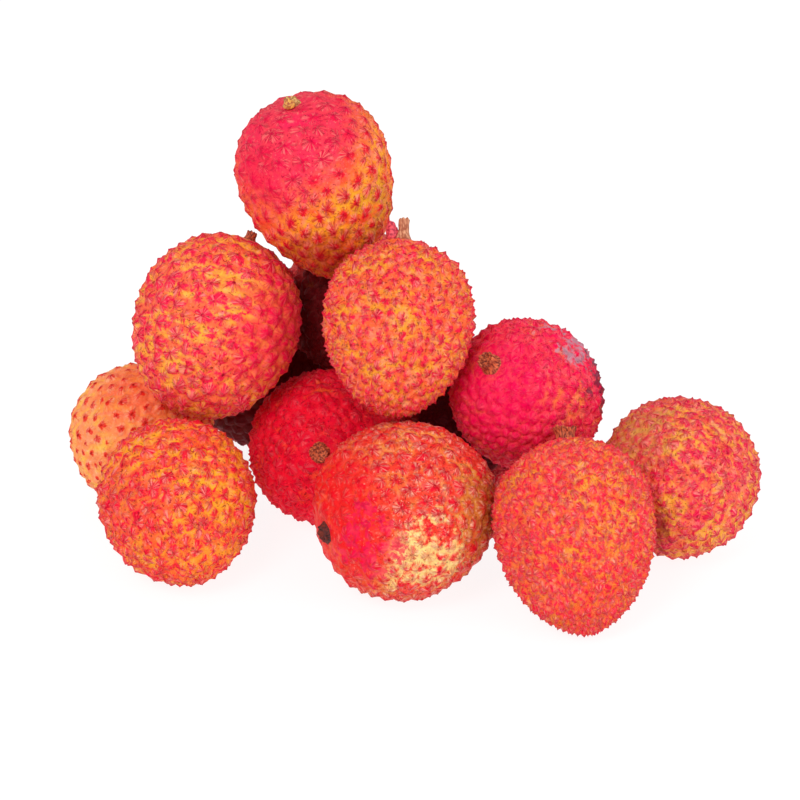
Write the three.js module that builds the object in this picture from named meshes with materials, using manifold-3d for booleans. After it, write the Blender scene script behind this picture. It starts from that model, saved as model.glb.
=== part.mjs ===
// A loose heap of thirteen short-stalked lychees: eight on the surface, four on those and one on top.
// Millimetres, +Z up, +X to the right of the front view.
import * as THREE from "three";
import { ConvexHull } from "three/addons/math/ConvexHull.js";
import { mergeVertices } from "three/addons/utils/BufferGeometryUtils.js";
import Module from "manifold-3d";

const wasm = await Module();
wasm.setup();

// Peel
const TUBERCLES = 170; // pointed tubercles on each fruit, a little larger than life
const TUBERCLE_RISE = 1.5; // from the valley between tubercles to a tip
const SMOOTH_CAP_DEG = 8; // the peel is smooth this far round the stem
const FULL_RISE_DEG = 24; // and its tubercles have their full height from here on
const SHOULDER_FULLNESS = 0.92; // below 1, the stem half is fuller than a ball's half
const STEM_DIP = 0.06; // depth of the hollow that the stem stands in, as a share of half the length
const STEM_DIP_WIDTH = 0.25; // and its half width, as a share of half the width
const GOLDEN_ANGLE = Math.PI * (3 - Math.sqrt(5));

// How the fruits lie
const PRESSED_FLAT = 0.6; // how much of its lowest tips each fruit of the bottom layer loses
const MESHING = 0.3; // how far the tips of a fruit sink in between those of the fruits under it
const LOWERING_STEPS = [5, 0.5, 0.02];
const HALVINGS = 24; // of the range of angles when the outline is looked up by direction
const DROP_HEIGHT = 120;
const GROUND_BLOCK = 200;

// Stem stubs
const STEM_GAP = 0.35; // between a stub's foot and the peel
const STEM_SIDES = 10;
const FOOT_THICKNESS = 0.6;
const STEM_WALL = 0.7;

// Each fruit in the order in which the heap is built. width and length are over the tips. taper says
// how much it narrows towards the blossom end. bearing and rise give the way its stem end points, in
// degrees: bearing from +X towards +Y, and rise above the horizon. spin turns it round its own axis.
const FRUITS = [
  {
    name: "front_right", x: 36.4, y: -8.8, width: 34.8, length: 42.3, taper: 0.14,
    bearing: 97, rise: 48, spin: 10, peel: "#d94a45", stem: "cup",
  },
  {
    name: "front_middle", x: 1.7, y: 2.1, width: 38.2, length: 39.5, taper: 0.08,
    bearing: -154, rise: -4, spin: 60, peel: "#d2313a", stem: "hollow",
  },
  {
    name: "front_left", x: -46.9, y: 8.7, width: 34, length: 37.5, taper: 0.12,
    bearing: 103, rise: 25, spin: 140, peel: "#dc5340", stem: "stub",
  },
  {
    name: "far_right", x: 59.4, y: 18.2, width: 35.1, length: 34.6, taper: 0.08,
    bearing: 68, rise: -15, spin: 200, peel: "#cc5a48", stem: "stub",
  },
  {
    name: "middle", x: -16, y: 36.1, width: 34.5, length: 36.5, taper: 0.08,
    bearing: -94, rise: 22, spin: 250, peel: "#b92338", stem: "button",
  },
  {
    name: "far_left", x: -57.3, y: 41, width: 32.5, length: 32.4, taper: 0.1,
    bearing: 75, rise: 11, spin: 300, peel: "#e58a5c", stem: "stub",
  },
  {
    name: "back_left", x: -29.5, y: 70, width: 35.5, length: 37, taper: 0.08,
    bearing: -120, rise: 54, spin: 20, peel: "#cf4a43", stem: "stub",
  },
  {
    name: "back_right", x: 16, y: 50.5, width: 34, length: 36, taper: 0.1,
    bearing: 9, rise: 31, spin: 80, peel: "#c73c40", stem: "cup",
  },
  {
    name: "upper_right", x: 27.7, y: 24.4, width: 32.9, length: 36.2, taper: 0.08,
    bearing: -133, rise: 44, spin: 120, peel: "#c22a4c", stem: "tube",
  },
  {
    name: "upper_left", x: -39.7, y: 35.6, width: 36.5, length: 41.3, taper: 0.04,
    bearing: 58, rise: 49, spin: 180, peel: "#db4c48", stem: "stub",
  },
  {
    name: "upper_back", x: -10.4, y: 56.1, width: 32.1, length: 33.5, taper: 0.08,
    bearing: 69, rise: 30, spin: 220, peel: "#b52838", stem: "tube",
  },
  {
    name: "upper_middle", x: -0.4, y: 19.6, width: 33, length: 39.1, taper: 0.11,
    bearing: 85, rise: 52, spin: 270, peel: "#dd5044", stem: "stalk", lobe: "tall",
  },
  {
    name: "top", x: -17.1, y: 42.9, width: 33.5, length: 43.6, taper: 0.23,
    bearing: -172, rise: 74, spin: 320, peel: "#d63a55", stem: "scar", lobe: "low",
  },
];
const BOTTOM_LAYER = 8; // the first eight lie on the surface

// What is left of each stem: radius of the foot, of the neck and of the broken end, height, and how
// deep the broken end is hollow.
const STEMS = {
  stalk: { foot: 2, neck: 1.1, end: 1.25, height: 5.4, hollow: 0.4 },
  stub: { foot: 1.8, neck: 1.1, end: 1.2, height: 2.6, hollow: 0.3 },
  cup: { foot: 2.1, neck: 1.8, end: 2.6, height: 3.5, hollow: 1.5 },
  tube: { foot: 2.1, neck: 1.7, end: 1.9, height: 3, hollow: 1.6 },
  hollow: { foot: 2.3, neck: 2, end: 2, height: 1.3, hollow: 0.9 },
  button: { foot: 2, neck: 1.6, end: 1.9, height: 1.8, hollow: 0.5 },
  scar: { foot: 1.7, neck: 1.3, end: 1.4, height: 1.6, hollow: 0.4 },
};

// The undeveloped second fruit beside a stem: half width, height, lean outwards and side, in degrees.
const LOBES = {
  tall: { radius: 1.3, height: 4.6, lean: 10, side: -95 },
  low: { radius: 1.2, height: 2.2, lean: 20, side: -55 },
};
const LOBE_SIDES = 8;
const LOBE_OFFSET = 2; // from the stem's axis to the lobe's foot
const LOBE_LIFT = 0.2;

const woodFinish = new THREE.MeshStandardMaterial({
  color: "#6b4a2c", roughness: 0.9, metalness: 0,
});

// Point on the outline over the tips, at an angle from the stem pole, as [from axis, along axis].
function outline(fruit, angle) {
  const across = Math.sin(angle);
  const along = Math.cos(angle);
  const fullness = along > 0 ? SHOULDER_FULLNESS : 1 + fruit.taper;
  const narrowing = (1 + fruit.taper * along) / (1 + fruit.taper ** 2 / 2);
  const dip = along > 0 ? STEM_DIP * Math.exp(-((across / STEM_DIP_WIDTH) ** 2)) : 0;
  return [
    (fruit.width / 2) * Math.max(across, 0) ** fullness * narrowing,
    (fruit.length / 2) * (along - dip),
  ];
}

// Distance from the fruit's centre to the outline in the direction at this angle from the stem.
function reach(fruit, direction) {
  let low = 0;
  let high = Math.PI;
  for (let i = 0; i < HALVINGS; i++) {
    const angle = (low + high) / 2;
    const [across, along] = outline(fruit, angle);
    if (Math.atan2(across, along) < direction) low = angle;
    else high = angle;
  }
  return Math.hypot(...outline(fruit, low));
}

function unitVector(angle, turn) {
  return new THREE.Vector3().setFromSphericalCoords(1, angle, turn);
}

// Even spots for the tubercles on a ball whose pole is at +Y: a spiral by the golden angle that has a
// spot on either pole, and the triangles between neighbouring spots.
function tubercleNet() {
  const spots = [];
  for (let i = 0; i < TUBERCLES; i++) {
    const angle = Math.acos(1 - (2 * i) / (TUBERCLES - 1));
    spots.push(unitVector(angle, i * GOLDEN_ANGLE));
  }
  const numbers = new Map(spots.map((spot, i) => [spot, i]));
  const hull = new ConvexHull().setFromPoints(spots);
  const triangles = hull.faces.map((face) =>
    [0, 1, 2].map((i) => numbers.get(face.getEdge(i).head().point)),
  );
  return { spots, triangles };
}
const NET = tubercleNet();

// Point of the peel in the fruit's own frame, stem at +Z, below the tips by a share of their rise.
function peelPoint(fruit, spot, depth) {
  const angle = Math.acos(THREE.MathUtils.clamp(spot.y, -1, 1));
  const degrees = THREE.MathUtils.radToDeg(angle);
  const rise = THREE.MathUtils.smoothstep(degrees, SMOOTH_CAP_DEG, FULL_RISE_DEG) * TUBERCLE_RISE;
  const [across, along] = outline(fruit, angle);
  const turn = Math.atan2(spot.x, spot.z);
  const point = new THREE.Vector3(across * Math.cos(turn), across * Math.sin(turn), along);
  return point.setLength(point.length() - rise * depth);
}

function tips(fruit) {
  return NET.spots.map((spot) => peelPoint(fruit, spot, 0));
}

// The whole peel: every tubercle is a low pyramid whose foot joins the middles of the triangles
// round its spot.
function peelGeometry(fruit) {
  const positions = tips(fruit);
  const valleys = NET.triangles.map(([a, b, c]) => {
    const middle = NET.spots[a].clone().add(NET.spots[b]).add(NET.spots[c]).normalize();
    positions.push(peelPoint(fruit, middle, 1));
    return positions.length - 1;
  });
  const across = new Map();
  NET.triangles.forEach((corners, i) => {
    corners.forEach((from, j) => across.set(`${from} ${corners[(j + 1) % 3]}`, valleys[i]));
  });
  const faces = [];
  for (const [edge, inside] of across) {
    const [from, to] = edge.split(" ").map(Number);
    faces.push(from, across.get(`${to} ${from}`), inside);
  }
  const geometry = new THREE.BufferGeometry().setFromPoints(positions);
  return geometry.setIndex(faces);
}

function solidOf(geometry) {
  const bare = geometry.clone();
  bare.deleteAttribute("normal");
  bare.deleteAttribute("uv");
  const merged = mergeVertices(bare);
  return new wasm.Manifold(
    new wasm.Mesh({
      numProp: 3,
      vertProperties: merged.attributes.position.array,
      triVerts: new Uint32Array(merged.index.array),
    }),
  );
}

function geometryOf(solid) {
  const mesh = solid.getMesh();
  const positions = new THREE.BufferAttribute(mesh.vertProperties, mesh.numProp);
  const geometry = new THREE.BufferGeometry().setAttribute("position", positions);
  return geometry.setIndex(new THREE.BufferAttribute(mesh.triVerts, 1));
}

// A lathe turned about Z from points given as [radius, height].
function turned(points, sides) {
  const profile = points.map(([radius, height]) => new THREE.Vector2(radius, height));
  return new THREE.LatheGeometry(profile, sides).rotateX(Math.PI / 2);
}

// A stub with a flared foot, a waist and a broken, hollow end, and the lobe beside it if it has one.
function stemGeometry({ foot, neck, end, height, hollow }, lobe) {
  const stub = turned(
    [
      [0, 0],
      [foot, 0],
      [foot, FOOT_THICKNESS],
      [neck, height / 2],
      [end, height],
      [end - STEM_WALL, height],
      [0, height - hollow],
    ],
    STEM_SIDES,
  );
  if (!lobe) return stub;
  const bud = new THREE.SphereGeometry(lobe.radius, LOBE_SIDES, LOBE_SIDES / 2)
    .rotateX(Math.PI / 2)
    .scale(1, 1, lobe.height / 2 / lobe.radius)
    .translate(0, 0, lobe.height / 2)
    .rotateY(THREE.MathUtils.degToRad(lobe.lean))
    .translate(LOBE_OFFSET, 0, LOBE_LIFT)
    .rotateZ(THREE.MathUtils.degToRad(lobe.side));
  return geometryOf(solidOf(stub).add(solidOf(bud)));
}

function stemDirection({ bearing, rise }) {
  const turn = THREE.MathUtils.degToRad(bearing);
  const up = THREE.MathUtils.degToRad(rise);
  return new THREE.Vector3(
    Math.cos(up) * Math.cos(turn),
    Math.cos(up) * Math.sin(turn),
    Math.sin(up),
  );
}

const STEM_AXIS = new THREE.Vector3(0, 0, 1);

function turnOf(fruit) {
  const tilt = new THREE.Quaternion().setFromUnitVectors(STEM_AXIS, stemDirection(fruit));
  const spin = THREE.MathUtils.degToRad(fruit.spin);
  return tilt.multiply(new THREE.Quaternion().setFromAxisAngle(STEM_AXIS, spin));
}

// Smallest distance from the tips of one placed fruit to the outline of another.
function tipClearance(upper, lower) {
  const back = lower.turn.clone().invert();
  let least = Infinity;
  for (const tip of upper.tips) {
    const point = tip.clone().add(upper.centre).sub(lower.centre).applyQuaternion(back);
    const direction = Math.atan2(Math.hypot(point.x, point.y), point.z);
    const limit = Math.max(lower.fruit.width, lower.fruit.length);
    if (point.length() < limit) least = Math.min(least, point.length() - reach(lower.fruit, direction));
  }
  return least;
}

// Lowers a fruit until it lies on the surface or on the fruits below it.
function placeOn(fruit, layer, below) {
  const turn = turnOf(fruit);
  const placed = { fruit, turn, tips: tips(fruit).map((tip) => tip.applyQuaternion(turn)) };
  const lowest = Math.min(...placed.tips.map((tip) => tip.z));
  placed.centre = new THREE.Vector3(fruit.x, fruit.y, -lowest - PRESSED_FLAT);
  if (layer === "bottom") return placed;
  const isClear = () =>
    below.every(
      (other) =>
        tipClearance(placed, other) > -MESHING && tipClearance(other, placed) > -MESHING,
    );
  placed.centre.z = DROP_HEIGHT;
  for (const step of LOWERING_STEPS) {
    while (isClear()) placed.centre.z -= step;
    placed.centre.z += step;
  }
  return placed;
}

// Cuts off what a fruit of the bottom layer would have below the surface that it lies on.
function pressedFlat(geometry, fruitGroup) {
  fruitGroup.updateMatrixWorld(true);
  const ground = new THREE.BoxGeometry(GROUND_BLOCK, GROUND_BLOCK, GROUND_BLOCK)
    .translate(fruitGroup.position.x, fruitGroup.position.y, -GROUND_BLOCK / 2)
    .applyMatrix4(fruitGroup.matrixWorld.clone().invert());
  return geometryOf(solidOf(geometry).subtract(solidOf(ground)));
}

const heap = new THREE.Group();
const placedFruits = [];
FRUITS.forEach((fruit, i) => {
  const layer = i < BOTTOM_LAYER ? "bottom" : "upper";
  const placed = placeOn(fruit, layer, placedFruits);
  placedFruits.push(placed);
  const fruitGroup = new THREE.Group();
  fruitGroup.position.copy(placed.centre);
  fruitGroup.quaternion.copy(placed.turn);

  const whole = peelGeometry(fruit);
  const peel = new THREE.Mesh(
    layer === "bottom" ? pressedFlat(whole, fruitGroup) : whole,
    new THREE.MeshStandardMaterial({ color: fruit.peel, roughness: 0.5, metalness: 0 }),
  );
  peel.name = `lychee_${fruit.name}`;

  const stem = new THREE.Mesh(stemGeometry(STEMS[fruit.stem], LOBES[fruit.lobe]), woodFinish);
  stem.name = `stem_${fruit.name}`;
  stem.position.z = outline(fruit, 0)[1] + STEM_GAP;

  fruitGroup.add(peel, stem);
  heap.add(fruitGroup);
});

// The origin is the middle of the heap's box, on the surface that it lies on.
const box = new THREE.Box3().setFromObject(heap, true);
const centre = box.getCenter(new THREE.Vector3());
heap.position.set(-centre.x, -centre.y, 0);

const bunch = new THREE.Group();
bunch.add(heap);

export default bunch;
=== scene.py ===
import math

import bpy
import numpy as np
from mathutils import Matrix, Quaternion, Vector, noise


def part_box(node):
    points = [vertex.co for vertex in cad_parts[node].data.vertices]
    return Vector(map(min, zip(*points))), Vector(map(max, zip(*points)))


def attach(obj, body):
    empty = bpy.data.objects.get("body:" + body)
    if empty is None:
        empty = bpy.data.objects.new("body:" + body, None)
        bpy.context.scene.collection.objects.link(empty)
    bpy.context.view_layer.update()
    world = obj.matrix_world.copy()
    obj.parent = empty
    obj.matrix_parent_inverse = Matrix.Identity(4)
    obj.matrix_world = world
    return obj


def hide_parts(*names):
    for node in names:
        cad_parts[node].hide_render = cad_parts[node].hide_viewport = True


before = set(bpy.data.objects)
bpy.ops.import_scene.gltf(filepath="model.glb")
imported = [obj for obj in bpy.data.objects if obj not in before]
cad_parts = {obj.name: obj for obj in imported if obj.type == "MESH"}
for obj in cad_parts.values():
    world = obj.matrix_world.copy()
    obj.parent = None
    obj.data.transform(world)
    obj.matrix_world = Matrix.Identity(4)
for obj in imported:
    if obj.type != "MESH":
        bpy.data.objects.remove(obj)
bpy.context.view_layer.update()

# Sizes here are in millimetres unless a name says otherwise. Blender's are in metres.
MM = 0.001
BODY = "root"

# View of the photograph. The distance says how strong the perspective is.
CAMERA_RISE = 26
CAMERA_TARGET = (-2.1, -30.4, 45)
CAMERA_DISTANCE = 700
MM_PER_PIXEL = 0.206
PHOTO_WIDTH = 800
SENSOR_WIDTH = 36

# Studio: where each lamp stands and its size, in metres, and its power in watts
LAMPS = {
    "key": dict(where=(-0.4, -0.8, 0.9), size=0.5, power=5.6),
    "fill": dict(where=(0.8, -0.6, 0.5), size=0.8, power=3.4),
}
LAMPS_AIM = (0, 0, 0.04)
WORLD_LIGHT = 0.72
FLOOR_REACH = 6
FLOOR_GREY = 0.15
FLOOR_GLOW = 0.88

# Form of every fruit, as in the solids
SOLID_TUBERCLES = 170
SHOULDER_FULLNESS = 0.92
STEM_DIP = 0.06
STEM_DIP_WIDTH = 0.25
SMOOTH_CAP_DEG = 8
FULL_RISE_DEG = 24
STEM_GAP = 0.35
GOLDEN_ANGLE = math.pi * (3 - math.sqrt(5))

# The finer peel: how finely its ball is cut, how far the tubercles stray from an even spiral,
# how much the form wavers, and how far the tips stand out from the solid
BALL_CUTS = 7
SPOTS_ASTRAY = 1.1
UNEVENNESS = 1
UNEVEN_SCALE = 1.6
PROUD = 0.25

# Relief of a tubercle, by the way from its tip, at 0, to the valley round it, at 1. Depths are
# shares of its height, and some tips are lower than the others by up to LOWER_TIPS.
TIP_REACH = 0.42
TIP_SHARPNESS = 1.6
LOWER_TIPS = 0.15
RIDGE_SCALE = 1.3
RIDGE_DEPTH = 0.55
GROOVE_START = 0.82
GROOVE_DEPTH = 0.12
CRINKLE_SCALE = 26
CRINKLE_DEPTH = 0.3

# How far apart in the noise the patterns of two tubercles lie
CELL_APART = 40

# Each fruit as in the solids: width and length over the tips, how much it narrows towards the
# blossom end, the way its stem points in degrees, and its turn about its own axis.
# Then its tubercles: how many, their height, and the share of it that is the sharp tip.
FRUITS = {
    "front_right": dict(
        width=34.8, length=42.3, taper=0.14, bearing=97, rise=48, spin=10, stem="cup",
        tubercles=900, bump=1.27, tip_share=0.42, finish="coral"),
    "front_middle": dict(
        width=38.2, length=39.5, taper=0.08, bearing=-154, rise=-4, spin=60, stem="hollow",
        tubercles=420, bump=0.99, tip_share=0.3, finish="crimson"),
    "front_left": dict(
        width=34, length=37.5, taper=0.12, bearing=103, rise=25, spin=140, stem="stub",
        tubercles=350, bump=1.1, tip_share=0.36, finish="coral"),
    "far_right": dict(
        width=35.1, length=34.6, taper=0.08, bearing=68, rise=-15, spin=200, stem="stub",
        tubercles=400, bump=1.05, tip_share=0.34, finish="muted"),
    "middle": dict(
        width=34.5, length=36.5, taper=0.08, bearing=-94, rise=22, spin=250, stem="button",
        tubercles=420, bump=1.16, tip_share=0.36, finish="crimson"),
    "far_left": dict(
        width=32.5, length=32.4, taper=0.1, bearing=75, rise=11, spin=300, stem="stub",
        tubercles=300, bump=0.88, tip_share=0.25, finish="pale"),
    "back_left": dict(
        width=35.5, length=37, taper=0.08, bearing=-120, rise=54, spin=20, stem="stub",
        tubercles=360, bump=1.1, tip_share=0.34, finish="coral"),
    "back_right": dict(
        width=34, length=36, taper=0.1, bearing=9, rise=31, spin=80, stem="cup",
        tubercles=380, bump=1.1, tip_share=0.34, finish="crimson"),
    "upper_right": dict(
        width=32.9, length=36.2, taper=0.08, bearing=-133, rise=44, spin=120, stem="tube",
        tubercles=460, bump=1.1, tip_share=0.36, finish="crimson"),
    "upper_left": dict(
        width=36.5, length=41.3, taper=0.04, bearing=58, rise=49, spin=180, stem="stub",
        tubercles=330, bump=1.1, tip_share=0.34, finish="coral"),
    "upper_back": dict(
        width=32.1, length=33.5, taper=0.08, bearing=69, rise=30, spin=220, stem="tube",
        tubercles=400, bump=1.16, tip_share=0.36, finish="crimson"),
    "upper_middle": dict(
        width=33, length=39.1, taper=0.11, bearing=85, rise=52, spin=270, stem="stalk",
        tubercles=540, bump=1.44, tip_share=0.45, finish="coral", lobe="tall"),
    "top": dict(
        width=33.5, length=43.6, taper=0.23, bearing=-172, rise=74, spin=320, stem="scar",
        tubercles=290, bump=0.94, tip_share=0.3, finish="coral", lobe="low"),
}

# What is left of each stem, as in the solids: radius of the foot, of the neck and of the broken
# end, height, and depth of the hollow. teeth says how ragged the broken end is.
STEMS = {
    "stalk": dict(
        foot=2, neck=1.1, end=1.25, height=5.4, hollow=0.4, teeth=0.25,
        bark="#a45a3c", broken="#e4a47c"),
    "stub": dict(foot=1.8, neck=1.1, end=1.2, height=2.6, hollow=0.3, teeth=0.3),
    "cup": dict(foot=2.1, neck=1.8, end=2.6, height=3.5, hollow=1.5, teeth=0.8),
    "tube": dict(foot=2.1, neck=1.7, end=1.9, height=3, hollow=1.6, teeth=0.6),
    "hollow": dict(
        foot=2.3, neck=2, end=2, height=1.3, hollow=0.9, teeth=0.3,
        bark="#240606", broken="#6a1810"),
    "button": dict(foot=2, neck=1.6, end=1.9, height=1.8, hollow=0.5, teeth=0.15),
    "scar": dict(
        foot=1.7, neck=1.3, end=1.4, height=1.6, hollow=0.4, teeth=0.35,
        bark="#9a6a2c", broken="#ecc078"),
}
BARK = "#6a1a0e"
BROKEN = "#dc6c40"
STAIN = "#8e3018"
STEM_WALL = 0.6
STEM_SIDES = 48
STEM_RINGS = 40
STEM_ROOT = 1.2

# Shares of a stub's radius by which its fibres and knobs stand out, the share of its height where
# the ragged end starts, and how the teeth of that end spread about their middle
FIBRE_DEPTH = 0.12
KNOB_DEPTH = 0.16
TEETH_START = 0.4
TEETH_SPREAD = 1.6
TEETH_MIDDLE = 0.2

# The undeveloped second fruit beside a stem: half width, height, lean outwards and side in
# degrees, and the colours of its wrinkles and of the skin between them
LOBES = {
    "tall": dict(
        radius=1.3, height=4.6, lean=10, side=-95, dark="#b01c3c", light="#fa5a68"),
    "low": dict(
        radius=1.2, height=2.2, lean=20, side=-55, dark="#a04a24", light="#e8a848"),
}
LOBE_OFFSET = 2
LOBE_LIFT = 0.2
LOBE_SIDES = 32
LOBE_RINGS = 24
LOBE_POINT = 0.25
LOBE_BUMPS = 0.1

# Peel: colours of the skin, of the deep red facets, of the creases, of the unripe golden ground,
# of the pale fibres, bloom and specks, and of the dry tips and cracks. gold_share, bands and
# patchy give the gold, and net how far it keeps to the valleys. deep_share, facets and hearts
# give the deep red, by facets and near the tips. Then come the strengths of the finer marks, how
# far a dry tip reaches, and the roughness and gloss. The pale specks are partly painted glints,
# and the cracks are partly painted shade, as they darken the valleys more. A fruit's own peel
# changes what differs on it.
USUAL_PEEL = dict(
    skin="#f8693c", deep="#ee0444", crease="#b8021c", gold="#fdae30", pale="#ffa494",
    dot="#74060f", gold_share=0, bands=1.8, patchy=1.4, net=0.75,
    deep_share=0.36, facets=2.6, hearts=0.9, bloom=0.15, creases=0.75,
    fibres=0.55, specks_and_glints=0.3, cracks_and_valley_shade=0.7, dots=0.9, dot_reach=0.28,
    rough=0.55, gloss=0.05, patches=[],
)
BAND_STRETCH = (1.8, 1.8, 11)
PATCH_RAGGED = 0.5

# Scales of the patterns: over the whole part, per metre, and then round one tubercle's tip
BROAD_SCALE = 190
BLOOM_SCALE = 520
FINE_SCALE = 650
DEEP_SCALE = 900
FINEST_SCALE = 1500
FACET_SCALE = 1.1
FOLD_SCALE = 1.9
RAY_SCALE = 2.4

# Where each layer starts to show and where it is whole, and how strongly it covers
VALLEY_EDGE = (0.25, 0.8)
GOLD_EDGE = (-0.2, 0.45)
DEEP_EDGE = (-0.1, 0.3)
BLOOM_EDGE = (0.5, 0.66)
FIBRE_EDGE = (0.4, 0.56)
SPECK_AND_GLINT_EDGE = (0.62, 0.7)
CRACK_EDGE = (0.32, 0.42)
GOLD_COVER = 0.9
DEEP_COVER = 0.92
HEART_SIZE = 0.42
CREASE_WIDTH = 0.07
FIBRE_WIDTH = 0.05

# Multiplies a tubercle's chance to give it a second one, which says how dry its tip is
SECOND_CHANCE = 7.3
PEEL_BUMP = 0.3

# Patches are where the camera sees them on the fruit: right and up of its centre in shares of its
# radius, with their radius and the width of their edge in degrees. A patch lies under the deep
# red and the finer marks, and calm says how much deep red it takes away, or else it lies over all.
PEELS = {
    "front_right": dict(
        skin="#fa693a", deep="#f20844", gold="#fba634", pale="#ffa498",
        patchy=2, bands=1.2, hearts=0.6, facets=2.8, dots=0.6, bloom=0.3, cracks_and_valley_shade=0.4,
        patches=[
            dict(at=(-0.85, -0.1), size=25, edge=15, colour="#f22a42", amount=0.5),
            dict(at=(0.15, 0), size=24, edge=22, colour="#fba038", amount=0.4),
            dict(at=(0.1, -0.85), size=25, edge=15, colour="#fa702e", amount=0.5),
        ]),
    # Its pale is whiter and its specks stronger, as painted highlights on top of the real specks.
    "front_middle": dict(
        skin="#ec3c2c", deep="#e20028", gold="#fcb850", pale="#ffc8b0", gold_share=-0.06,
        dots=1, hearts=1.4, specks_and_glints=0.45, bloom=0.12, rough=0.48, gloss=0.08, bands=0.6,
        patches=[
            dict(at=(0.85, -0.05), size=24, edge=14, colour="#d8903a", amount=0.8, calm=0.3),
            dict(at=(0.2, -0.52), size=22, edge=10, colour="#fddc88", amount=0.95, calm=0.6),
            dict(at=(-0.85, -0.1), size=44, edge=14, colour="#ee0018", amount=0.7, over=True),
            dict(at=(-0.45, -0.3), size=12, edge=10, colour="#ee024e", amount=0.7, over=True),
        ]),
    "front_left": dict(
        skin="#f96632", deep="#f00438", gold="#fdae28", gold_share=0.02, bands=3, patchy=1,
        net=0.45, dots=0.6,
        patches=[
            dict(at=(-0.75, 0), size=28, edge=18, colour="#ee2440", amount=0.5),
            dict(at=(0.45, -0.6), size=28, edge=16, colour="#fb9030", amount=0.6),
        ]),
    "far_right": dict(
        skin="#f06848", deep="#e4084c", gold="#f4b03e", bands=3.2, patchy=1, net=0.4, dots=0.5,
        bloom=0.3,
        patches=[
            dict(at=(-0.7, 0.55), size=30, edge=16, colour="#d0944c", amount=0.75, calm=0.4),
            dict(at=(-0.65, -0.65), size=24, edge=16, colour="#90101a", amount=0.8, over=True),
        ]),
    "middle": dict(
        skin="#f41632", deep="#e80030", gold="#f86a2a", pale="#ff8a90", dot="#5c0410",
        gold_share=-0.2, bloom=0.05, dots=0.4, fibres=0.25, specks_and_glints=0.15, cracks_and_valley_shade=0.6),
    "far_left": dict(
        skin="#fa9058", deep="#e81c1a", gold="#fdc04e", pale="#ffd0b4", dot="#96100a",
        gold_share=0.05, deep_share=0.2, hearts=2.2, facets=1, dots=1.3, dot_reach=0.32,
        fibres=0.3, creases=0.3, cracks_and_valley_shade=0.2,
        patches=[dict(at=(0.1, 0.75), size=30, edge=20, colour="#f6503c", amount=0.6)]),
    # Back row, in the shade of the heap: its darker skin and deep red are partly painted shade, and
    # the near-black patch over the side that faces the camera is painted shadow.
    "back_left": dict(
        skin="#c42c34", deep="#a40424", gold_share=-0.2, bloom=0.1,
        patches=[dict(at=(0, -0.3), size=75, edge=15, colour="#50040c", amount=0.95, over=True)]),
    # Back row, in the shade of the heap: its darker skin and deep red are partly painted shade, and
    # the near-black patch over the side that faces the camera is painted shadow.
    "back_right": dict(
        skin="#c82430", deep="#a80020", gold_share=-0.3, bloom=0.1,
        patches=[dict(at=(0, 0.2), size=60, edge=20, colour="#380310", amount=0.95, over=True)]),
    "upper_right": dict(
        skin="#f43e50", deep="#ea004c", gold="#fa883a", pale="#ff9ca0", gold_share=-0.16,
        fibres=0.25, specks_and_glints=0.2, cracks_and_valley_shade=0.6,
        patches=[
            dict(at=(-0.45, 0), size=34, edge=18, colour="#f00052", amount=0.55, over=True),
            dict(at=(0.64, 0.66), size=17, edge=11, colour="#b890a0", amount=0.8, over=True),
            dict(at=(0.9, 0.3), size=14, edge=11, colour="#62203a", amount=0.75, over=True),
        ]),
    "upper_left": dict(
        skin="#f96e44", deep="#f0064a", gold="#fdb63c", net=0.5, bands=3, patchy=1,
        patches=[
            dict(at=(0.85, -0.1), size=34, edge=20, colour="#f20044", amount=0.6, over=True),
        ]),
    # Back row, in the shade of the heap: its darker skin and deep red are partly painted shade, and
    # the near-black patch over the side that faces the camera is painted shadow.
    "upper_back": dict(
        skin="#e04a4a", deep="#b00020", gold_share=-0.4, bloom=0.1,
        patches=[
            dict(at=(-0.5, -0.3), size=50, edge=20, colour="#50040c", amount=0.9, over=True),
        ]),
    "upper_middle": dict(
        gold="#fcac32", patchy=1.8, gold_share=0.03, net=0.65, hearts=1.3, bloom=0.3, dots=1),
    "top": dict(
        skin="#f4502e", deep="#e2042c", gold="#fdb02a", pale="#fe8e7c", net=0.85, bands=0.6,
        patchy=1.8, gold_share=0.24, deep_share=0.25, hearts=2, dots=1, facets=1.6, bloom=0.45,
        fibres=0.8, specks_and_glints=0.5, creases=0.9,
        patches=[
            dict(at=(-0.35, 0.6), size=46, edge=18, colour="#f01a50", amount=0.85, calm=0.25),
            dict(at=(-0.35, 0.6), size=46, edge=18, colour="#f2005a", amount=0.3, over=True),
            dict(at=(-0.8, -0.2), size=26, edge=18, colour="#ee0c40", amount=0.5, over=True),
            dict(at=(0.8, -0.3), size=16, edge=14, colour="#d69828", amount=0.6),
            dict(at=(0, -0.95), size=24, edge=16, colour="#a80e18", amount=0.6, over=True),
        ]),
}


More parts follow.
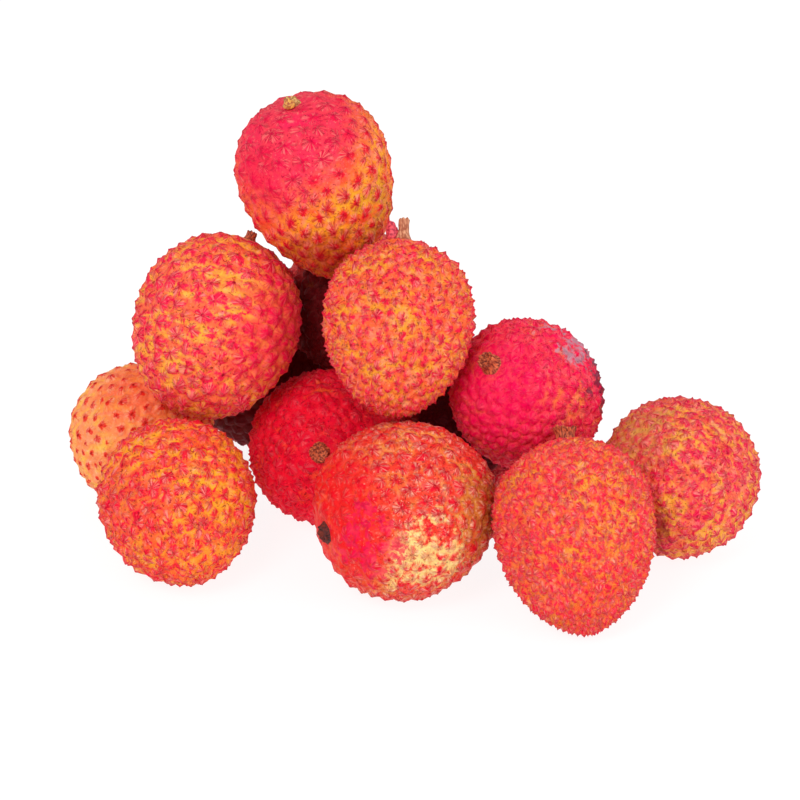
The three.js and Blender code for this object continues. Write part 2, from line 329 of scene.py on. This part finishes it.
class Wire:
    """One output socket. Sums on it add Math nodes."""

    def __init__(self, sheet, socket):
        self.sheet = sheet
        self.socket = socket

    def out(self, name):
        return Wire(self.sheet, self.socket.node.outputs[name])

    def math(self, operation, *values):
        return self.sheet.node("ShaderNodeMath", {"operation": operation}, dict(enumerate(values)))

    def __add__(self, other):
        return self.math("ADD", self, other)

    def __radd__(self, other):
        return self.math("ADD", other, self)

    def __sub__(self, other):
        return self.math("SUBTRACT", self, other)

    def __rsub__(self, other):
        return self.math("SUBTRACT", other, self)

    def __mul__(self, other):
        return self.math("MULTIPLY", self, other)

    def __rmul__(self, other):
        return self.math("MULTIPLY", other, self)

    def __truediv__(self, other):
        return self.math("DIVIDE", self, other)

    def __pow__(self, other):
        return self.math("POWER", self, other)

    def root(self):
        return self.math("SQRT", self)

    def above(self, least):
        return self.math("MAXIMUM", self, least)

    def between(self, low, high):
        """0 up to low, 1 from high on, with a soft step between them."""
        settings = {"interpolation_type": "SMOOTHSTEP"}
        inputs = {"Value": self, "From Min": low, "From Max": high}
        return self.sheet.node("ShaderNodeMapRange", settings, inputs)

    def peak(self, width):
        """1 where this is 0, and falling away like a bell of that width."""
        scaled = self / width
        return self.math("EXPONENT", 0 - scaled * scaled)


class Sheet:
    """A node tree, with one method that adds any node."""

    def __init__(self, tree):
        self.tree = tree

    def node(self, kind, settings=None, inputs=None, output=0):
        made = self.tree.nodes.new(kind)
        for name, value in (settings or {}).items():
            setattr(made, name, value)
        for name, value in (inputs or {}).items():
            if isinstance(value, Wire):
                self.tree.links.new(value.socket, made.inputs[name])
            else:
                made.inputs[name].default_value = value
        return Wire(self, made.outputs[output]) if made.outputs else made

    def vector(self, operation, *values):
        output = "Value" if operation in ("DOT_PRODUCT", "LENGTH") else "Vector"
        settings = {"operation": operation}
        return self.node("ShaderNodeVectorMath", settings, dict(enumerate(values)), output)

    def scaled(self, vector, factor):
        settings = {"operation": "SCALE"}
        return self.node("ShaderNodeVectorMath", settings, {"Vector": vector, "Scale": factor})

    def combined(self, x, y, z):
        return self.node("ShaderNodeCombineXYZ", inputs={0: x, 1: y, 2: z})

    def noise(self, vector, scale, detail=2, roughness=0.5):
        inputs = {"Vector": vector, "Scale": scale, "Detail": detail, "Roughness": roughness}
        return self.node("ShaderNodeTexNoise", inputs=inputs)

    def mixed(self, factor, first, second):
        """The first colour where factor is 0, the second where it is 1."""
        inputs = {0: factor, 6: first, 7: second}
        return self.node("ShaderNodeMix", {"data_type": "RGBA"}, inputs, 2)

    def attribute(self, name, output="Fac"):
        return self.node("ShaderNodeAttribute", {"attribute_name": name}, output=output)


def paint(code):
    """A colour written as #rrggbb, as Blender's linear red, green, blue and alpha."""
    shares = [int(code[i : i + 2], 16) / 255 for i in (1, 3, 5)]
    linear = [s / 12.92 if s <= 0.04045 else ((s + 0.055) / 1.055) ** 2.4 for s in shares]
    return (*linear, 1)


# Fruit peel by geometry nodes


def tubercle_spots(sheet, given):
    """Points on a ball of radius 1 along a spiral by the golden angle, each a little astray."""
    number = sheet.node("GeometryNodeInputIndex")
    height = 1 - 2 * number / (given("Tubercles") - 1)
    across = (1 - height * height).above(0).root()
    turn = number * GOLDEN_ANGLE
    even = sheet.combined(
        across * turn.math("COSINE", turn), across * turn.math("SINE", turn), height
    )
    stray = sheet.node(
        "FunctionNodeRandomValue",
        {"data_type": "FLOAT_VECTOR"},
        {"Min": (-1, -1, -1), "Max": (1, 1, 1), "Seed": given("Seed")},
    )
    stray = sheet.scaled(stray, given("Astray") / given("Tubercles").root())
    spot = sheet.vector("NORMALIZE", sheet.vector("ADD", even, stray))
    return sheet.node("GeometryNodePoints", inputs={"Count": given("Tubercles"), "Position": spot})


def valley_lines(sheet, spots):
    """The net of lines midway between the spots."""
    hull = sheet.node("GeometryNodeConvexHull", inputs={0: spots})
    net = sheet.node("GeometryNodeDualMesh", inputs={0: hull})
    even = sheet.vector("NORMALIZE", sheet.node("GeometryNodeInputPosition"))
    return sheet.node("GeometryNodeSetPosition", inputs={0: net, "Position": even})


def fruit_outline(sheet, given, place, along, across):
    """Point on the outline over the tips, for a point of the ball of radius 1."""
    parts = sheet.node("ShaderNodeSeparateXYZ", inputs={0: place})
    is_stem_half = along.math("GREATER_THAN", along, 0)
    fullness = 1 + given("Taper") + is_stem_half * (SHOULDER_FULLNESS - 1 - given("Taper"))
    narrowing = (1 + given("Taper") * along) / (1 + given("Taper") * given("Taper") / 2)
    radius = given("Width") / 2 * across**fullness * narrowing
    dip = STEM_DIP * is_stem_half * across.peak(STEM_DIP_WIDTH)
    return sheet.combined(
        parts.out("X") / across * radius,
        parts.out("Y") / across * radius,
        given("Length") / 2 * (along - dip),
    )


def peel_tree():
    """Geometry nodes that make one lychee's peel in its own frame, stem at +Z."""
    tree = bpy.data.node_groups.new("Lychee peel", "GeometryNodeTree")
    numbers = ["Width", "Length", "Taper", "Bump", "Tip share", "Astray", "Unevenness"]
    kinds = {name: "NodeSocketFloat" for name in numbers}
    kinds.update({name: "NodeSocketInt" for name in ("Tubercles", "Cuts", "Seed")})
    kinds["Finish"] = "NodeSocketMaterial"
    for name, kind in kinds.items():
        tree.interface.new_socket(name, in_out="INPUT", socket_type=kind)
    tree.interface.new_socket("Geometry", in_out="OUTPUT", socket_type="NodeSocketGeometry")
    sheet = Sheet(tree)
    given = sheet.node("NodeGroupInput").out

    spots = tubercle_spots(sheet, given)
    lines = valley_lines(sheet, spots)
    ball_size = {"Radius": 1, "Subdivisions": given("Cuts")}
    ball = sheet.node("GeometryNodeMeshIcoSphere", inputs=ball_size)
    place = sheet.vector("NORMALIZE", sheet.node("GeometryNodeInputPosition"))
    along = sheet.node("ShaderNodeSeparateXYZ", inputs={0: place}, output="Z")
    across = (1 - along * along).above(0).root()

    # Where the point lies between the nearest tip, at 0, and the valley round it, at 1
    to_points = {"target_element": "POINTS"}
    to_edges = {"target_element": "EDGES"}
    to_tip = sheet.node("GeometryNodeProximity", to_points, {0: spots}, "Distance")
    to_line = sheet.node("GeometryNodeProximity", to_edges, {0: lines}, "Distance")
    cell = to_tip / (to_tip + to_line)
    tip = to_tip.out("Position")
    seeded = sheet.combined(given("Seed"), 0, 0)
    chance = sheet.node("ShaderNodeTexWhiteNoise", inputs={0: sheet.vector("ADD", tip, seeded)})

    # The way from the tip, for the ridges that run from each tip down to its valley
    side = sheet.vector("NORMALIZE", sheet.vector("CROSS_PRODUCT", tip, (0, 0, 1)))
    other_side = sheet.vector("CROSS_PRODUCT", tip, side)
    from_tip = sheet.vector("SUBTRACT", place, tip)
    spoke = sheet.combined(
        sheet.vector("DOT_PRODUCT", from_tip, side),
        sheet.vector("DOT_PRODUCT", from_tip, other_side),
        0,
    )
    apart = sheet.combined(0, 0, CELL_APART * chance)
    round_tip = sheet.vector("ADD", sheet.vector("NORMALIZE", spoke), apart)

    # Depth below the tips
    degrees = along.math("ARCCOSINE", along) * (180 / math.pi)
    full = degrees.between(SMOOTH_CAP_DEG, FULL_RISE_DEG)
    height = given("Bump") * full
    shortfall = LOWER_TIPS * (1 - chance)
    dome = 1 - cell * cell
    spike = (1 - cell.between(0, TIP_REACH)) ** TIP_SHARPNESS
    relief = given("Tip share") * spike + (1 - given("Tip share")) * dome
    relief = relief * (1 - shortfall)
    ridge = (sheet.noise(round_tip, RIDGE_SCALE, 1) - 0.5) * 4 * cell * (1 - cell)
    groove = cell.between(GROOVE_START, 1)
    crinkle = sheet.noise(place, CRINKLE_SCALE, 2) - 0.5
    hollows = 1 - relief - RIDGE_DEPTH * ridge + GROOVE_DEPTH * groove + CRINKLE_DEPTH * crinkle
    uneven = sheet.noise(sheet.vector("ADD", place, seeded), UNEVEN_SCALE, 1)
    depth = height * hollows + given("Unevenness") * (uneven - 0.5) - PROUD

    outline = fruit_outline(sheet, given, place, along, across)
    reach = sheet.vector("LENGTH", outline)
    skin = sheet.scaled(outline, (1 - depth / reach) * MM)

    peel = ball
    kept = {"cell": cell, "chance": chance, "spoke": spoke, "ball": place}
    for name, value in kept.items():
        kind = "FLOAT_VECTOR" if name in ("spoke", "ball") else "FLOAT"
        settings = {"data_type": kind, "domain": "POINT"}
        inputs = {"Geometry": peel, "Name": name, "Value": value}
        peel = sheet.node("GeometryNodeStoreNamedAttribute", settings, inputs)
    peel = sheet.node("GeometryNodeSetPosition", inputs={0: peel, "Position": skin})
    peel = sheet.node("GeometryNodeSetShadeSmooth", inputs={0: peel})
    peel = sheet.node("GeometryNodeRealizeInstances", inputs={0: peel})
    inputs = {"Geometry": peel, "Material": given("Finish")}
    peel = sheet.node("GeometryNodeSetMaterial", inputs=inputs)
    sheet.node("NodeGroupOutput", inputs={"Geometry": peel})
    return tree


def evaluated_mesh(tree, values):
    """The plain mesh that a geometry nodes tree makes from these inputs."""
    holder = bpy.data.objects.new("holder", bpy.data.meshes.new("holder"))
    bpy.context.scene.collection.objects.link(holder)
    modifier = holder.modifiers.new("nodes", "NODES")
    modifier.node_group = tree
    for socket in tree.interface.items_tree:
        if socket.in_out == "INPUT":
            modifier[socket.identifier] = values[socket.name]
    whole = holder.evaluated_get(bpy.context.evaluated_depsgraph_get())
    mesh = bpy.data.meshes.new_from_object(whole)
    bpy.data.objects.remove(holder)
    return mesh


def way(bearing, rise):
    """Unit vector at a bearing from +X towards +Y and a rise above the horizon, in degrees."""
    bearing = math.radians(bearing)
    rise = math.radians(rise)
    return Vector(
        (
            math.cos(rise) * math.cos(bearing),
            math.cos(rise) * math.sin(bearing),
            math.sin(rise),
        )
    )


def turn_of(fruit):
    """The turn from the fruit's own frame, stem at +Z, to how it lies in the heap."""
    upright = Vector((0, 0, 1))
    spin = Quaternion(upright, math.radians(fruit["spin"]))
    return upright.rotation_difference(way(fruit["bearing"], fruit["rise"])) @ spin


def outline_at(fruit, angle):
    """Distance from the axis and height of the outline over the tips, by angles from the stem."""
    across = np.sin(angle)
    along = np.cos(angle)
    is_stem_half = along > 0
    fullness = np.where(is_stem_half, SHOULDER_FULLNESS, 1 + fruit["taper"])
    narrowing = (1 + fruit["taper"] * along) / (1 + fruit["taper"] ** 2 / 2)
    dip = np.where(is_stem_half, STEM_DIP * np.exp(-((across / STEM_DIP_WIDTH) ** 2)), 0)
    radius = fruit["width"] / 2 * np.maximum(across, 0) ** fullness * narrowing
    return radius, fruit["length"] / 2 * (along - dip)


def centre_of(name, fruit, turn):
    """Where the fruit's own origin lies, from its solid's box and the tips of that solid."""
    number = np.arange(SOLID_TUBERCLES)
    angle = np.arccos(1 - 2 * number / (SOLID_TUBERCLES - 1))
    radius, height = outline_at(fruit, angle)
    around = number * GOLDEN_ANGLE
    tips = np.stack([radius * np.cos(around), radius * np.sin(around), height], axis=1)
    furthest = (tips @ np.array(turn.to_matrix()).T).max(axis=0) * MM
    return np.array(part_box(f"lychee_{name}")[1]) - furthest


def placed(mesh, turn, centre):
    """Turns and moves a mesh's points into the heap, and flattens what would be underground."""
    points = np.empty(len(mesh.vertices) * 3, dtype=np.float32)
    mesh.vertices.foreach_get("co", points)
    points = points.reshape(-1, 3) @ np.array(turn.to_matrix()).T + centre
    points[:, 2] = np.maximum(points[:, 2], 0)
    mesh.vertices.foreach_set("co", points.astype(np.float32).ravel())
    mesh.update()


def new_piece(name, mesh, node):
    """Makes a mesh a piece of the part, in the place of one of its solids."""
    mesh.name = name
    piece = bpy.data.objects.new(name, mesh)
    bpy.context.scene.collection.objects.link(piece)
    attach(piece, BODY)
    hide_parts(node)
    return piece


# Stem stubs


def curve_through(points, count):
    """Evenly many points on a smooth line through [radius, height] points."""
    points = np.array(points, dtype=float)
    steps = np.concatenate([[0], np.cumsum(np.linalg.norm(np.diff(points, axis=0), axis=1))])
    places = np.linspace(0, steps[-1], count)
    line = np.stack([np.interp(places, steps, points[:, i]) for i in (0, 1)], axis=1)
    for _ in range(2):
        line[1:-1] = (line[:-2] + 2 * line[1:-1] + line[2:]) / 4
    return line


def turned_rows(rows, sides, shape):
    """Points and faces of a closed form turned from rows, with shape(row, angle) for each point."""
    points = []
    for row in range(1, len(rows) - 1):
        for i in range(sides):
            points.append(shape(row, 2 * math.pi * i / sides))
    faces = []
    for row in range(len(rows) - 3):
        for i in range(sides):
            j = (i + 1) % sides
            low, high = row * sides, (row + 1) * sides
            faces.append((low + i, low + j, high + j, high + i))
    first, last = len(points), len(points) + 1
    points.append(shape(0, 0))
    points.append(shape(len(rows) - 1, 0))
    top = (len(rows) - 3) * sides
    for i in range(sides):
        j = (i + 1) % sides
        faces.append((first, j, i))
        faces.append((last, top + i, top + j))
    return points, faces


def stub_form(stem, seed):
    """A stub with a flared foot, a waist, lengthwise fibres and a ragged, hollow end."""
    height = stem["height"]
    end = stem["end"]
    rows = curve_through(
        [
            (0, -STEM_ROOT),
            (stem["foot"] + 0.5, -STEM_ROOT),
            (stem["foot"] + 0.35, 0),
            (stem["foot"], 0.35),
            ((stem["foot"] + stem["neck"]) / 2, height * 0.25),
            (stem["neck"], height * 0.5),
            ((stem["neck"] + end) / 2, height * 0.8),
            (end, height),
            (end - STEM_WALL, height - 0.1),
            (end - STEM_WALL - 0.15, height - stem["hollow"] * 0.7),
            (0, height - stem["hollow"]),
        ],
        STEM_RINGS,
    )

    def shape(row, angle):
        radius, level = rows[row]
        around = Vector((math.cos(angle), math.sin(angle), 0))
        fibre = noise.noise(around * 3.5 + Vector((seed, 0, level * 0.25)))
        knob = noise.noise(around * 1.3 + Vector((seed + 7, 0, level * 0.8)))
        tooth = noise.noise(around * 2.4 + Vector((seed + 3, 0, 0)))
        spread = radius * (1 + FIBRE_DEPTH * fibre + KNOB_DEPTH * knob)
        raggedness = stem["teeth"] * max(0, level / height - TEETH_START) / (1 - TEETH_START)
        lifted = level + raggedness * (tooth - TEETH_MIDDLE) * TEETH_SPREAD
        return (spread * math.cos(angle), spread * math.sin(angle), lifted)

    return turned_rows(rows, STEM_SIDES, shape)


def lobe_form(lobe, seed):
    """A small fleshy bud with a pointed tip and low bumps, leaning away from the stem."""
    angles = np.linspace(math.pi, 0, LOBE_RINGS)
    half = lobe["height"] / 2
    rows = [
        (lobe["radius"] * math.sin(a) * (1 - LOBE_POINT * math.cos(a)), half * (1 + math.cos(a)))
        for a in angles
    ]
    lean = Quaternion((0, 1, 0), math.radians(lobe["lean"]))
    side = Quaternion((0, 0, 1), math.radians(lobe["side"]))

    def shape(row, angle):
        radius, level = rows[row]
        point = Vector((radius * math.cos(angle), radius * math.sin(angle), level))
        point *= 1 + LOBE_BUMPS * noise.noise(point * 2.2 + Vector((seed, 0, 0)))
        point = lean @ point + Vector((LOBE_OFFSET, 0, LOBE_LIFT))
        return tuple(side @ point)

    return turned_rows(rows, LOBE_SIDES, shape)


def stem_mesh(fruit, seed, wood, flesh):
    """The stub of one fruit and the bud beside it, in the fruit's own frame."""
    points, faces = stub_form(STEMS[fruit["stem"]], seed)
    wood_faces = len(faces)
    if "lobe" in fruit:
        lobe_points, lobe_faces = lobe_form(LOBES[fruit["lobe"]], seed)
        faces += [tuple(corner + len(points) for corner in face) for face in lobe_faces]
        points += lobe_points
    grain = np.array(points)
    foot = outline_at(fruit, np.zeros(1))[1][0] + STEM_GAP
    mesh = bpy.data.meshes.new("stem")
    mesh.from_pydata([(x * MM, y * MM, (z + foot) * MM) for x, y, z in points], [], faces)
    mesh.attributes.new("grain", "FLOAT_VECTOR", "POINT").data.foreach_set("vector", grain.ravel())
    mesh.materials.append(wood)
    if flesh:
        mesh.materials.append(flesh)
    mesh.polygons.foreach_set("material_index", [int(i >= wood_faces) for i in range(len(faces))])
    mesh.polygons.foreach_set("use_smooth", [True] * len(faces))
    return mesh


# Finishes


def new_material(name):
    """A node material, its sheet and its one shader."""
    material = bpy.data.materials.new(name)
    material.use_nodes = True
    material.node_tree.nodes.clear()
    sheet = Sheet(material.node_tree)
    shader = sheet.node("ShaderNodeBsdfPrincipled")
    sheet.node("ShaderNodeOutputMaterial", inputs={"Surface": shader})
    return material, sheet, shader.socket.node


def join(sheet, shader, **inputs):
    """Links or sets the shader's sockets by name, with _ for a space."""
    for name, value in inputs.items():
        socket = shader.inputs[name.replace("_", " ")]
        if isinstance(value, Wire):
            sheet.tree.links.new(value.socket, socket)
        else:
            socket.default_value = value


def seen_at(right, up):
    """Way from a fruit's centre to the spot that the camera sees there, in shares of its radius."""
    towards = way(-90, CAMERA_RISE)
    upwards = way(90, 90 - CAMERA_RISE)
    depth = math.sqrt(max(0, 1 - right**2 - up**2))
    return (Vector((right, 0, 0)) + up * upwards + depth * towards).normalized()


def patch_mask(sheet, patch, outwards, broad, fine):
    """1 inside a patch of the peel, with an uneven edge."""
    facing = sheet.vector("DOT_PRODUCT", outwards, tuple(seen_at(*patch["at"])))
    facing = facing + PATCH_RAGGED * (broad - 0.5) + PATCH_RAGGED * (fine - 0.5)
    outer = math.cos(math.radians(patch["size"] + patch["edge"]))
    inner = math.cos(math.radians(patch["size"] - patch["edge"]))
    return facing.between(outer, inner)


def peel_material(name, centre, seed):
    """Peel: skin with golden bands and net, deep red facets, pale fibres and dry dark tips."""
    look = {**USUAL_PEEL, **PEELS[name]}
    material, sheet, shader = new_material(f"peel {name}")
    cell = sheet.attribute("cell")
    chance = sheet.attribute("chance")
    spoke = sheet.attribute("spoke", "Vector")
    ball = sheet.attribute("ball", "Vector")
    place = sheet.node("ShaderNodeTexCoord", output="Object")
    outwards = sheet.vector("NORMALIZE", sheet.vector("SUBTRACT", place, tuple(centre)))
    apart = sheet.combined(seed, 0, CELL_APART * chance)
    round_tip = sheet.vector("ADD", sheet.vector("NORMALIZE", spoke), apart)

    broad = sheet.noise(place, BROAD_SCALE, 2)
    fine = sheet.noise(place, FINE_SCALE, 3, 0.6)
    finest = sheet.noise(place, FINEST_SCALE, 2, 0.6)
    bands = sheet.noise(sheet.vector("MULTIPLY", ball, BAND_STRETCH), 1, 2)
    facet = sheet.noise(round_tip, FACET_SCALE, 1)
    ray = sheet.noise(round_tip, RAY_SCALE, 1)
    fold = sheet.noise(sheet.vector("ADD", round_tip, (0, 0, CELL_APART)), FOLD_SCALE, 1)

    # The unripe ground shows in places, and there mostly in the valleys
    valley = (cell + 0.9 * (fine - 0.5)).between(*VALLEY_EDGE)
    gold = look["gold_share"] + look["bands"] * (bands - 0.5) + look["patchy"] * (broad - 0.5)
    gold = (gold + 0.6 * (fine - 0.5)).between(*GOLD_EDGE)
    gold = gold * (1 - look["net"] + look["net"] * valley)

    # Deep red facets round each tip, ragged at their edges, and less of them on the gold
    deep = look["deep_share"] + look["facets"] * (facet - 0.5)
    deep = deep + look["hearts"] * (HEART_SIZE - cell)
    deep = deep + 1.8 * (sheet.noise(place, DEEP_SCALE, 2) - 0.5)
    deep = (deep + 0.5 * (chance - 0.5) - 0.3 * gold).between(*DEEP_EDGE)

    colour = sheet.mixed(GOLD_COVER * gold, paint(look["skin"]), paint(look["gold"]))
    bloom = look["bloom"] * sheet.noise(place, BLOOM_SCALE, 2).between(*BLOOM_EDGE)
    colour = sheet.mixed(bloom, colour, paint(look["pale"]))
    for patch in look["patches"]:
        if not patch.get("over"):
            mask = patch["amount"] * patch_mask(sheet, patch, outwards, broad, fine)
            colour = sheet.mixed(mask, colour, paint(patch["colour"]))
            deep = deep * (1 - patch.get("calm", 0) * mask)
    colour = sheet.mixed(DEEP_COVER * deep, colour, paint(look["deep"]))

    # Creases and pale fibres run from each tip towards its valley
    crease = (fold - 0.5).peak(CREASE_WIDTH)
    crease = crease * (1 - cell.between(0.75, 1)) * cell.between(0.03, 0.15)
    crease = look["creases"] * crease * broad.between(0.3, 0.6)
    colour = sheet.mixed(crease, colour, paint(look["crease"]))
    line = (ray - 0.5).peak(FIBRE_WIDTH)
    line = line * cell.between(0.1, 0.25) * (1 - cell.between(0.7, 0.95))
    line = look["fibres"] * line * (fine + 0.3 * (chance - 0.5)).between(*FIBRE_EDGE)
    colour = sheet.mixed(line, colour, paint(look["pale"]))

    # Pale specks that are partly painted glints, dark cracks that are stronger in the valleys,
    # which is painted shade there, and dry tips
    speck_and_glint = look["specks_and_glints"] * finest.between(*SPECK_AND_GLINT_EDGE)
    colour = sheet.mixed(speck_and_glint, colour, paint(look["pale"]))
    # The factor by cell makes the cracks darker in the valleys: painted shade there.
    crack_and_valley_shade = look["cracks_and_valley_shade"] * (1 - finest.between(*CRACK_EDGE)) * (0.4 + 0.6 * cell)
    colour = sheet.mixed(crack_and_valley_shade, colour, paint(look["dot"]))
    dryness = SECOND_CHANCE * chance
    dryness = dryness.math("FRACT", dryness).between(0.25, 0.7)
    dot = look["dots"] * (1 - cell.between(0.06, look["dot_reach"])) * dryness
    colour = sheet.mixed(dot, colour, paint(look["dot"]))
    # Patches over all; the near-black ones on the three back fruits are painted shadow.
    for patch in look["patches"]:
        if patch.get("over"):
            mask = patch["amount"] * patch_mask(sheet, patch, outwards, broad, fine)
            colour = sheet.mixed(mask, colour, paint(patch["colour"]))
    rough = look["rough"] + 0.3 * (fine - 0.5)
    join(sheet, shader, Base_Color=colour, Roughness=rough, Specular_IOR_Level=look["gloss"])

    height = 0.5 * finest + 0.4 * fine + 0.35 * line
    inputs = {"Height": height, "Strength": 0.8, "Distance": PEEL_BUMP * MM}
    join(sheet, shader, Normal=sheet.node("ShaderNodeBump", inputs=inputs))
    return material


def wood_material(kind):
    """Dry stem: bark streaked with a paler broken colour along its fibres, and blotchy stains."""
    stem = STEMS[kind]
    bark = paint(stem.get("bark", BARK))
    broken = paint(stem.get("broken", BROKEN))
    material, sheet, shader = new_material(f"{kind} wood")
    grain = sheet.attribute("grain", "Vector")
    stretched = sheet.vector("MULTIPLY", grain, (1, 1, 0.2))
    fibre = sheet.noise(stretched, 2.6, 3)
    blotch = sheet.noise(grain, 0.9, 2)
    colour = sheet.mixed(fibre.between(0.35, 0.65), bark, broken)
    colour = sheet.mixed(0.6 * blotch.between(0.5, 0.7), colour, paint(STAIN))
    inputs = {"Height": fibre, "Strength": 0.6, "Distance": 0.2 * MM}
    bump = sheet.node("ShaderNodeBump", inputs=inputs)
    join(sheet, shader, Base_Color=colour, Roughness=0.6 + 0.3 * blotch, Normal=bump)
    return material


def flesh_material(kind):
    """The small wrinkled bud beside a stem."""
    material, sheet, shader = new_material(f"{kind} bud skin")
    grain = sheet.attribute("grain", "Vector")
    wrinkle = sheet.noise(grain, 1.8, 3)
    colour = sheet.mixed(
        wrinkle.between(0.35, 0.65), paint(LOBES[kind]["dark"]), paint(LOBES[kind]["light"])
    )
    inputs = {"Height": wrinkle, "Strength": 0.5, "Distance": 0.2 * MM}
    bump = sheet.node("ShaderNodeBump", inputs=inputs)
    join(sheet, shader, Base_Color=colour, Roughness=0.5, Normal=bump)
    return material


def build_fruits():
    """Every fruit's peel and stem stub, each in the place of its solid."""
    tree = peel_tree()
    woods = {kind: wood_material(kind) for kind in STEMS}
    fleshes = {kind: flesh_material(kind) for kind in LOBES}
    for seed, (name, fruit) in enumerate(FRUITS.items()):
        turn = turn_of(fruit)
        centre = centre_of(name, fruit, turn)
        values = {
            "Width": float(fruit["width"]),
            "Length": float(fruit["length"]),
            "Taper": float(fruit["taper"]),
            "Tubercles": fruit["tubercles"],
            "Bump": float(fruit["bump"]),
            "Tip share": float(fruit["tip_share"]),
            "Astray": SPOTS_ASTRAY,
            "Unevenness": UNEVENNESS,
            "Cuts": BALL_CUTS,
            "Seed": seed,
            "Finish": peel_material(name, centre, seed),
        }
        peel = evaluated_mesh(tree, values)
        placed(peel, turn, centre)
        new_piece(f"peel_{name}", peel, f"lychee_{name}")
        flesh = fleshes.get(fruit.get("lobe"))
        stem = stem_mesh(fruit, seed, woods[fruit["stem"]], flesh)
        placed(stem, turn, centre)
        new_piece(f"stub_{name}", stem, f"stem_{name}")


# Floor, light and camera


def add_light(name, where, size, power):
    """A round lamp that points at the heap."""
    data = bpy.data.lights.new(name, "AREA")
    data.shape = "DISK"
    data.size = size
    data.energy = power
    light = bpy.data.objects.new(name, data)
    light.location = where
    aim = Vector(LAMPS_AIM) - Vector(where)
    light.rotation_euler = aim.to_track_quat("-Z", "Y").to_euler()
    bpy.context.scene.collection.objects.link(light)


def add_floor():
    """A plain white sweep, bright enough to look like the photograph's."""
    reach = FLOOR_REACH
    corners = [(-reach, -reach, 0), (reach, -reach, 0), (reach, reach, 0), (-reach, reach, 0)]
    mesh = bpy.data.meshes.new("floor")
    mesh.from_pydata(corners, [], [(0, 1, 2, 3)])
    floor = bpy.data.objects.new("floor", mesh)
    bpy.context.scene.collection.objects.link(floor)
    material, sheet, shader = new_material("white sweep")
    grey = (FLOOR_GREY, FLOOR_GREY, FLOOR_GREY, 1)
    join(sheet, shader, Base_Color=grey, Roughness=0.8)
    join(sheet, shader, Emission_Color=(1, 1, 1, 1), Emission_Strength=FLOOR_GLOW)
    mesh.materials.append(material)


def add_camera():
    """The photograph's view, looking down at the heap."""
    target = Vector(CAMERA_TARGET) * MM
    rise = math.radians(CAMERA_RISE)
    back = Vector((0, -math.cos(rise), math.sin(rise)))
    data = bpy.data.cameras.new("camera")
    data.sensor_width = SENSOR_WIDTH
    data.lens = SENSOR_WIDTH * CAMERA_DISTANCE / MM_PER_PIXEL / PHOTO_WIDTH
    camera = bpy.data.objects.new("camera", data)
    camera.location = target + back * CAMERA_DISTANCE * MM
    camera.rotation_euler = (-back).to_track_quat("-Z", "Y").to_euler()
    bpy.context.scene.collection.objects.link(camera)
    bpy.context.scene.camera = camera


def build_studio():
    scene = bpy.context.scene
    scene.view_settings.view_transform = "Standard"
    add_floor()
    world = bpy.data.worlds.new("studio")
    world.use_nodes = True
    background = world.node_tree.nodes["Background"]
    background.inputs["Color"].default_value = (1, 1, 1, 1)
    background.inputs["Strength"].default_value = WORLD_LIGHT
    scene.world = world
    for name, lamp in LAMPS.items():
        add_light(name, **lamp)
    add_camera()


build_fruits()
build_studio()
